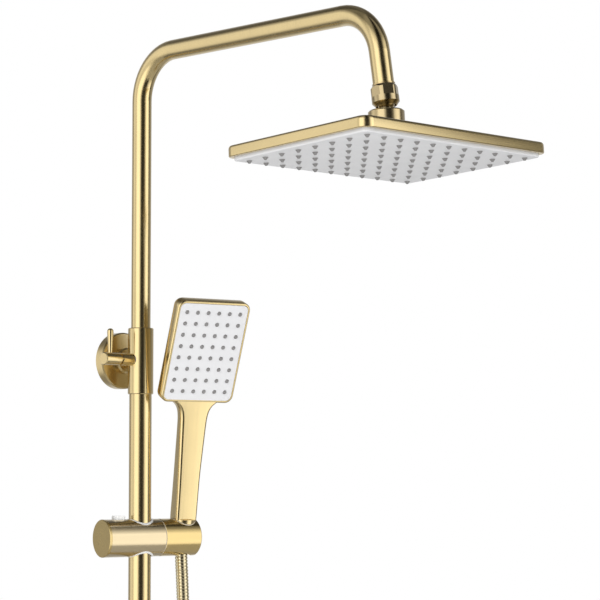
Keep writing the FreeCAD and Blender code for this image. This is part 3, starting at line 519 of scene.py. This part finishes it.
# The hub, from its foot up: radius and height.
HUB_PROFILE = [
    (34.0, -39.2),
    (34.0, -38.8),
    (30.0, -38.0),
    (25.5, -36.2),
    (21.5, -33.4),
    (18.4, -30.4),
    (16.4, -27.2),
    (15.4, -24.6),
    (15.0, -22.8),
    (10.4, -22.8),
]
head_gold = brushed("head_gold", HEAD, ALONG_X, rough=0.2, depth=0.000001)
head_mesh = joined(
    slab("head_shell", HEAD_WIDTH, HEAD_DEPTH, HEAD_CORNER, HEAD_PROFILE, HEAD),
    spun("head_hub", HUB_PROFILE, HEAD),
)
head_shell = made("head_shell", head_mesh, head_gold, "rain_head")
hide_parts("head_top_shell")


# ------------------------------------------------------------------ handset


HANDSET_WIDTH = 78.4
HANDSET_HEIGHT = 104.0
HANDSET_CORNER = 8.0

# From the pocket's floor to the face, round the bezel and over to the back: inset and distance
# behind the face.
HANDSET_PROFILE = [
    (2.5, 9.5),
    (2.5, 0.25),
    (2.35, 0.05),
    (2.1, 0.0),
    (1.2, 0.0),
    (0.95, 0.08),
    (0.12, 0.95),
    (0.0, 1.25),
    (0.0, 9.6),
    (0.2, 11.0),
    (0.8, 12.4),
    (1.9, 13.5),
    (3.4, 14.0),
    (9.0, 14.0),
]
# Height, distance in front of the handle's axis, width, depth, corner.
HANDLE_SECTIONS = [
    (18.7, 0.0, 21.8, 15.4, 2.2),
    (19.2, 0.0, 22.8, 16.4, 2.8),
    (40.0, 0.05, 23.4, 15.6, 3.0),
    (62.0, 0.2, 24.4, 14.4, 3.2),
    (86.0, 1.0, 26.4, 13.0, 3.4),
    (110.0, 1.9, 28.6, 11.6, 3.6),
    (120.0, 2.3, 30.0, 11.3, 3.6),
    (126.5, 2.8, 33.2, 11.0, 3.6),
    (131.0, 3.1, 38.8, 10.8, 3.6),
    (134.5, 3.3, 46.8, 10.6, 3.4),
    (139.0, 3.5, 55.8, 10.2, 3.0),
]
STEPS_PER_SECTION = 5


def handle_mesh():
    """The handle, from its foot to where it flares into the spray face."""
    rings = []
    rows = smooth_values(HANDLE_SECTIONS, STEPS_PER_SECTION)
    for height, forward, width, depth, corner in rows:
        rings.append(rounded_ring(width, depth, corner, height, (0.0, -forward)))
    return lofted("handle", rings, HANDSET)


handset_gold = brushed("handset_gold", HANDSET, ALONG_Z, rough=0.2)
handset_mesh = joined(
    slab("handset_body", HANDSET_WIDTH, HANDSET_HEIGHT, HANDSET_CORNER, HANDSET_PROFILE, SPRAY_FACE),
    handle_mesh(),
)
handset_body = made("handset_body", handset_mesh, handset_gold, "handset")
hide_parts("handset_shell")


# ------------------------------------------------------------------ hose


HOSE_RADIUS = 6.2 * MM
RIDGE_PITCH = 3.2 * MM
RIDGE_DEPTH = 0.8 * MM
RINGS_PER_RIDGE = 6
# The smooth stretch next to the handset is this much slimmer than the ridged one.
SLEEVE_STEP = 0.2 * MM
HOSE_SIDES = 28

# The same route as the CAD hose, from the socket to the diverter's outlet, in millimetres.
HOSE_ROUTE = [
    (46.2, -44.75, -169.85),
    (46.8, -42.4, -186),
    (47.4, -44.0, -214),
    (48.2, -46.5, -272),
    (48.8, -49.5, -385),
    (50, -52.5, -530),
    (53, -56, -680),
    (61, -58, -825),
    (72, -58, -965),
    (84, -56, -1095),
    (91, -53, -1175),
    (90, -51, -1244.7),
    (63.3, -49, -1281.5),
    (20, -47, -1295.6),
    (-23.3, -45, -1281.5),
    (-50, -43, -1244.7),
    (-49, -41, -1192),
    (-38, -38, -1140),
    (-15, -36, -1093),
    (0, -35, -1052),
    (0, -35, -1011.1),
]


def route_line():
    """The hose's centre line, as the points of its spline."""
    curve = bpy.data.curves.new("hose_route", "CURVE")
    curve.dimensions = "3D"
    spline = curve.splines.new("NURBS")
    spline.points.add(len(HOSE_ROUTE) - 1)
    for point, place in zip(spline.points, HOSE_ROUTE):
        point.co = (*(Vector(place) * MM), 1.0)
    spline.order_u = 3
    spline.use_endpoint_u = True
    spline.resolution_u = 64
    guide = bpy.data.objects.new("hose_route", curve)
    scene.collection.objects.link(guide)
    bpy.context.view_layer.update()
    mesh = bpy.data.meshes.new_from_object(guide)
    line = [v.co.copy() for v in mesh.vertices]
    bpy.data.objects.remove(guide)
    bpy.data.meshes.remove(mesh)
    return line


def spaced(line, step):
    """Points along a line, an even step apart."""
    points = [line[0]]
    left = step
    for a, b in zip(line, line[1:]):
        gap = (b - a).length
        while gap > left:
            a = a + (b - a).normalized() * left
            gap -= left
            points.append(a)
            left = step
        left -= gap
    points.append(line[-1])
    return points


def hose_skin(name, line, radii):
    """A tube round a line, with its own radius at each point."""
    rings = []
    side = Vector((1, 0, 0))
    for k, centre in enumerate(line):
        ahead = line[min(k + 1, len(line) - 1)] - line[max(k - 1, 0)]
        ahead.normalize()
        side = (side - ahead * side.dot(ahead)).normalized()
        other = ahead.cross(side)
        ring = []
        for n in range(HOSE_SIDES):
            angle = 2 * math.pi * n / HOSE_SIDES
            ring.append(centre + (side * math.cos(angle) + other * math.sin(angle)) * radii[k])
        rings.append(ring)
    return lofted(name, rings)


def ridged(count, step):
    """The radius at each ring of the ridged hose: round crowns and narrow grooves."""
    radii = []
    for k in range(count):
        phase = (k * step / RIDGE_PITCH) % 1.0
        groove = max(0.0, math.cos(2 * math.pi * phase)) ** 3
        radii.append(HOSE_RADIUS - RIDGE_DEPTH * groove)
    return radii


def hose_material():
    """The hose's paler gold, without lacquer."""
    tree = Tree("hose_gold")
    where = tree.local(Matrix())
    patches = tree.noise(where, 60.0, 2.0)
    tree.feed(tree.shader, "Base Color", tree.mix(patches, (0.82, 0.72, 0.48), (0.76, 0.64, 0.38)))
    tree.feed(tree.shader, "Metallic", 1.0)
    tree.feed(tree.shader, "Roughness", tree.spread(patches, 0.16, 0.26, 0.3, 0.7))
    tree.bump(tree.noise(where, 900.0, 2.0), 0.1, GRAIN_DEPTH)
    return tree.material


step = RIDGE_PITCH / RINGS_PER_RIDGE
line = spaced(route_line(), step)
gold_hose = hose_material()
# The hose is split at these heights, so that each of its pieces crosses one joint.
SPLITS = (-0.187, -0.206, -0.266)
split_at = [next(k for k, p in enumerate(line) if p.z <= z) for z in SPLITS]
all_radii = ridged(len(line), step)


def hose_stretch(name, first, last, radii):
    """The hose from one ring of the whole line to another, as its own piece."""
    mesh = hose_skin(name, line[first : last + 1], radii[first : last + 1])
    return made(name, mesh, gold_hose, None)


main_hose = hose_stretch("hose", split_at[2], len(line) - 1, all_radii)
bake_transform(main_hose)
upper_hose = hose_stretch("hose_top", split_at[1], split_at[2], all_radii)
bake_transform(upper_hose)
neck_hose = hose_stretch("hose_neck", split_at[0], split_at[1], all_radii)
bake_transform(neck_hose)
plain = [HOSE_RADIUS - SLEEVE_STEP] * len(line)
sleeve = hose_stretch("hose_sleeve", 0, split_at[0], plain)
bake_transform(sleeve)
for stretch in (main_hose, upper_hose, neck_hose, sleeve):
    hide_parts("hose_tube")


# ------------------------------------------------------------------ floor and light


def area_light(name, place, aim, width, height, power):
    """A soft panel that lights the matt surfaces and stays out of the reflections."""
    data = bpy.data.lights.new(name, "AREA")
    data.shape = "RECTANGLE"
    data.size = width
    data.size_y = height
    data.energy = power
    light = bpy.data.objects.new(name, data)
    light.location = place
    light.rotation_euler = (Vector(aim) - Vector(place)).to_track_quat("-Z", "Y").to_euler()
    light.visible_glossy = False
    light.visible_camera = False
    scene.collection.objects.link(light)


area_light("front_panel", (-2.2, -2.0, 1.2), (0, -0.2, 0), 1.6, 1.6, 30)
area_light("under_panel", (-0.6, -1.0, -0.75), (0, -0.3, 0.2), 0.8, 0.8, 9)
area_light("side_panel", (1.8, -1.6, 0.4), (0, -0.2, 0), 1.4, 1.8, 12)

# The loop hangs this much lower when the bracket is at its lowest.
LOOP_SAG = 0.32
FLOOR_REACH = 1.6

floor_mesh = bpy.data.meshes.new("floor")
floor_bm = bmesh.new()
bmesh.ops.create_grid(floor_bm, x_segments=1, y_segments=1, size=FLOOR_REACH)
floor_bm.to_mesh(floor_mesh)
floor_bm.free()
floor = bpy.data.objects.new("floor", floor_mesh)
floor.location = (0, -0.2, cad_box[0][2] - LOOP_SAG)
scene.collection.objects.link(floor)
floor_look = Tree("floor_pale")
floor_look.feed(floor_look.shader, "Base Color", (0.86, 0.86, 0.85, 1.0))
floor_look.feed(floor_look.shader, "Roughness", 0.8)
floor_mesh.materials.append(floor_look.material)


def ramp(tree_nodes, stops):
    """A grey ramp through (place, value) stops."""
    node = tree_nodes.new("ShaderNodeValToRGB")
    node.color_ramp.interpolation = "EASE"
    elements = node.color_ramp.elements
    while len(elements) < len(stops):
        elements.new(0.5)
    for element, (place, value) in zip(elements, stops):
        element.position = place
        element.color = (value, value, value, 1.0)
    return node


# What the metal reflects, as (degrees, brightness). Round about, zero is the camera's side, with
# soft boxes and dark gaps between them. Up and down, zero is the horizon.
STUDIO_AROUND = [
    (-180, 0.55),
    (-131, 0.3),
    (-119, 0.25),
    (-107, 0.72),
    (-92, 0.82),
    (-78, 0.6),
    (-69, 0.65),
    (-57, 1.25),
    (-25, 1.25),
    (-15, 0.55),
    (-5, 0.03),
    (22, 0.02),
    (35, 0.15),
    (50, 1.0),
    (66, 1.3),
    (78, 1.25),
    (95, 0.08),
    (111, 0.22),
    (131, 0.32),
    (180, 0.55),
]
STUDIO_UP = [
    (-90, 0.3),
    (-55, 0.25),
    (-40, 0.6),
    (-25, 1.0),
    (22, 1.0),
    (32, 0.6),
    (48, 0.2),
    (90, 0.2),
]
STUDIO_TURN = math.radians(130)
STUDIO_STRENGTH = 2.05


def studio():
    """Light for the metal, and plain white where the camera sees past the object."""
    world = bpy.data.worlds.new("studio")
    scene.world = world
    world.use_nodes = True
    tree = world.node_tree
    tree.nodes.clear()

    def maths(operation, first, second=0.0):
        return math_node(tree, operation, first, second)

    def turned(along, across, operation):
        """One coordinate of the direction, after the turn that puts zero on the camera's side."""
        first = maths("MULTIPLY", way.outputs[0], along)
        second = maths("MULTIPLY", way.outputs[1], across)
        return maths(operation, first, second)

    way = tree.nodes.new("ShaderNodeSeparateXYZ")
    tree.links.new(tree.nodes.new("ShaderNodeTexCoord").outputs["Generated"], way.inputs[0])
    cosine = math.cos(STUDIO_TURN)
    sine = math.sin(STUDIO_TURN)
    x = turned(cosine, sine, "SUBTRACT")
    y = turned(sine, cosine, "ADD")
    angle = maths("ARCTAN2", y, x)
    around = maths("ADD", maths("DIVIDE", angle, 2 * math.pi), 0.5)
    height = maths("ARCSINE", way.outputs[2])
    up = maths("ADD", maths("DIVIDE", height, math.pi), 0.5)
    # A colour ramp's own values stay at 1 or less.
    peak = max(v for _, v in STUDIO_AROUND)
    ring = ramp(tree.nodes, [((a + 180) / 360, v / peak) for a, v in STUDIO_AROUND])
    tree.links.new(around, ring.inputs[0])
    rise = ramp(tree.nodes, [((a + 90) / 180, v) for a, v in STUDIO_UP])
    tree.links.new(up, rise.inputs[0])
    both_ways = maths("MULTIPLY", ring.outputs[0], rise.outputs[0])
    light = maths("MULTIPLY", both_ways, STUDIO_STRENGTH)

    lit = tree.nodes.new("ShaderNodeBackground")
    tree.links.new(light, lit.inputs["Strength"])
    plain_white = tree.nodes.new("ShaderNodeBackground")
    plain_white.inputs["Strength"].default_value = 1.0
    plain_white.inputs["Color"].default_value = (1, 1, 1, 1)
    seen = tree.nodes.new("ShaderNodeLightPath").outputs["Is Camera Ray"]
    both = tree.nodes.new("ShaderNodeMixShader")
    tree.links.new(seen, both.inputs[0])
    tree.links.new(lit.outputs[0], both.inputs[1])
    tree.links.new(plain_white.outputs[0], both.inputs[2])
    out = tree.nodes.new("ShaderNodeOutputWorld")
    tree.links.new(both.outputs[0], out.inputs["Surface"])


studio()
